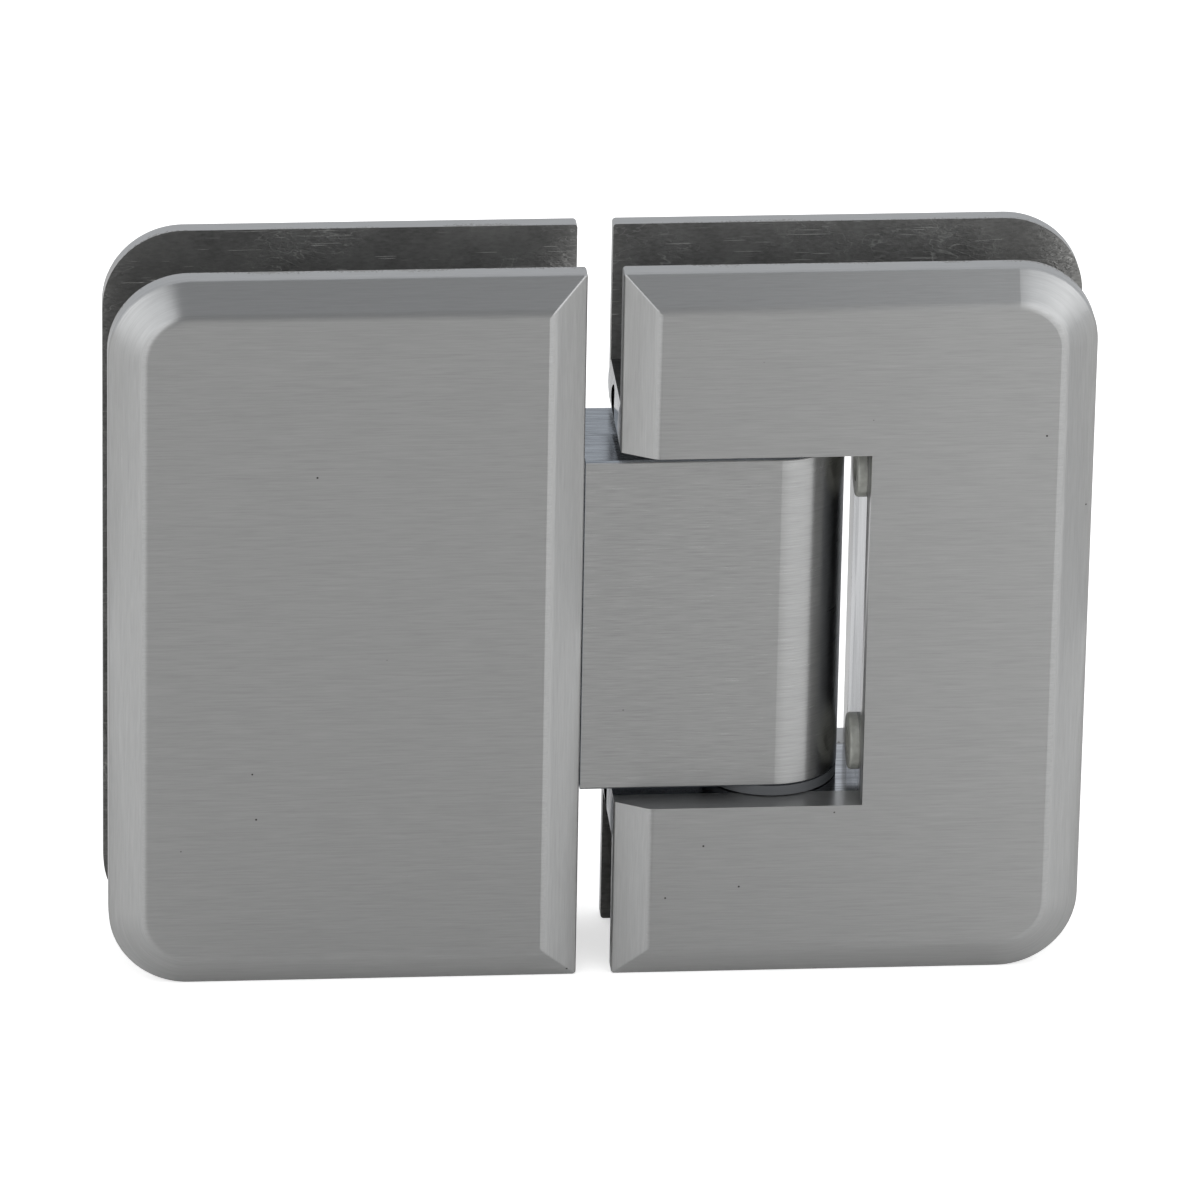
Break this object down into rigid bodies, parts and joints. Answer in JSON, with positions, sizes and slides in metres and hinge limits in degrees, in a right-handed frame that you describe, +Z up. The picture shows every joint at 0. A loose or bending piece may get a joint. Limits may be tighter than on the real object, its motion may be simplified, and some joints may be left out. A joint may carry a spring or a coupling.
{
  "type": "shower door hinge",
  "caption": "Glass-to-glass shower door hinge with bevelled clamp plates and a round-ended knuckle on a sprung pivot pin; swings a quarter turn either way.",
  "frame": {"origin": "middle of the gap between the two leaves, in the middle of the glass thickness and at half the plate height", "axes": "+X from the fixed leaf to the door leaf, +Y from the front plates to the back plates through the glass, +Z up along the pivot pin"},
  "size_m": [0.1152, 0.022, 0.09],
  "materials": {
    "satin_nickel": "brushed satin nickel",
    "hardened_steel": "ground steel",
    "spring_steel": "oiled spring steel",
    "screw_steel": "stainless steel",
    "plain_brass": "turned brass",
    "grey_acetal": "turned grey acetal",
    "cream_nylon": "moulded natural nylon"
  },
  "bodies": {
    "fixed_leaf": {"fixed_front_plate": "satin_nickel", "fixed_back_plate": "satin_nickel", "pivot_block": "satin_nickel", "upper_flange_bush": "grey_acetal", "lower_flange_bush": "grey_acetal", "upper_spring": "spring_steel", "lower_spring": "spring_steel", "upper_spring_plug": "screw_steel", "lower_spring_plug": "screw_steel", "fixed_clamp_screws": "screw_steel"},
    "door_leaf": {"door_front_plate": "satin_nickel", "door_back_plate": "satin_nickel", "pivot_pin": "hardened_steel", "upper_pin_set_screw": "screw_steel", "lower_pin_set_screw": "screw_steel", "upper_bump_pad": "cream_nylon", "lower_bump_pad": "cream_nylon", "door_clamp_screws": "screw_steel"},
    "upper_plunger_body": {"upper_plunger": "plain_brass"},
    "lower_plunger_body": {"lower_plunger": "plain_brass"},
    "upper_roller_body": {"upper_roller": "hardened_steel"},
    "lower_roller_body": {"lower_roller": "hardened_steel"}
  },
  "joints": [
    {"name": "door_swing", "type": "hinge", "parent": "fixed_leaf", "child": "door_leaf", "pos_m": [0.0211, 0, 0], "axis": [0, 0, 1], "range_deg": [-90, 90]},
    {"name": "upper_plunger_slide", "type": "slide", "parent": "fixed_leaf", "child": "upper_plunger_body", "axis": [1, 0, 0], "range_m": [0, 0.0005], "stiffness_N_per_m": 300, "springref_m": 0.004, "deforming": ["upper_spring"]},
    {"name": "lower_plunger_slide", "type": "slide", "parent": "fixed_leaf", "child": "lower_plunger_body", "axis": [1, 0, 0], "range_m": [0, 0.0005], "stiffness_N_per_m": 300, "springref_m": 0.004, "deforming": ["lower_spring"]},
    {"name": "upper_roller_spin", "type": "hinge", "parent": "upper_plunger_body", "child": "upper_roller_body", "pos_m": [0.01505, 0, 0.008], "axis": [0, 0, 1], "range_deg": [-180, 180]},
    {"name": "lower_roller_spin", "type": "hinge", "parent": "lower_plunger_body", "child": "lower_roller_body", "pos_m": [0.01505, 0, -0.008], "axis": [0, 0, 1], "range_deg": [-180, 180]}
  ],
  "couplings": [
    {"joint": "upper_roller_spin", "follows": "door_swing", "ratio": -2},
    {"joint": "lower_roller_spin", "follows": "door_swing", "ratio": -2}
  ]
}
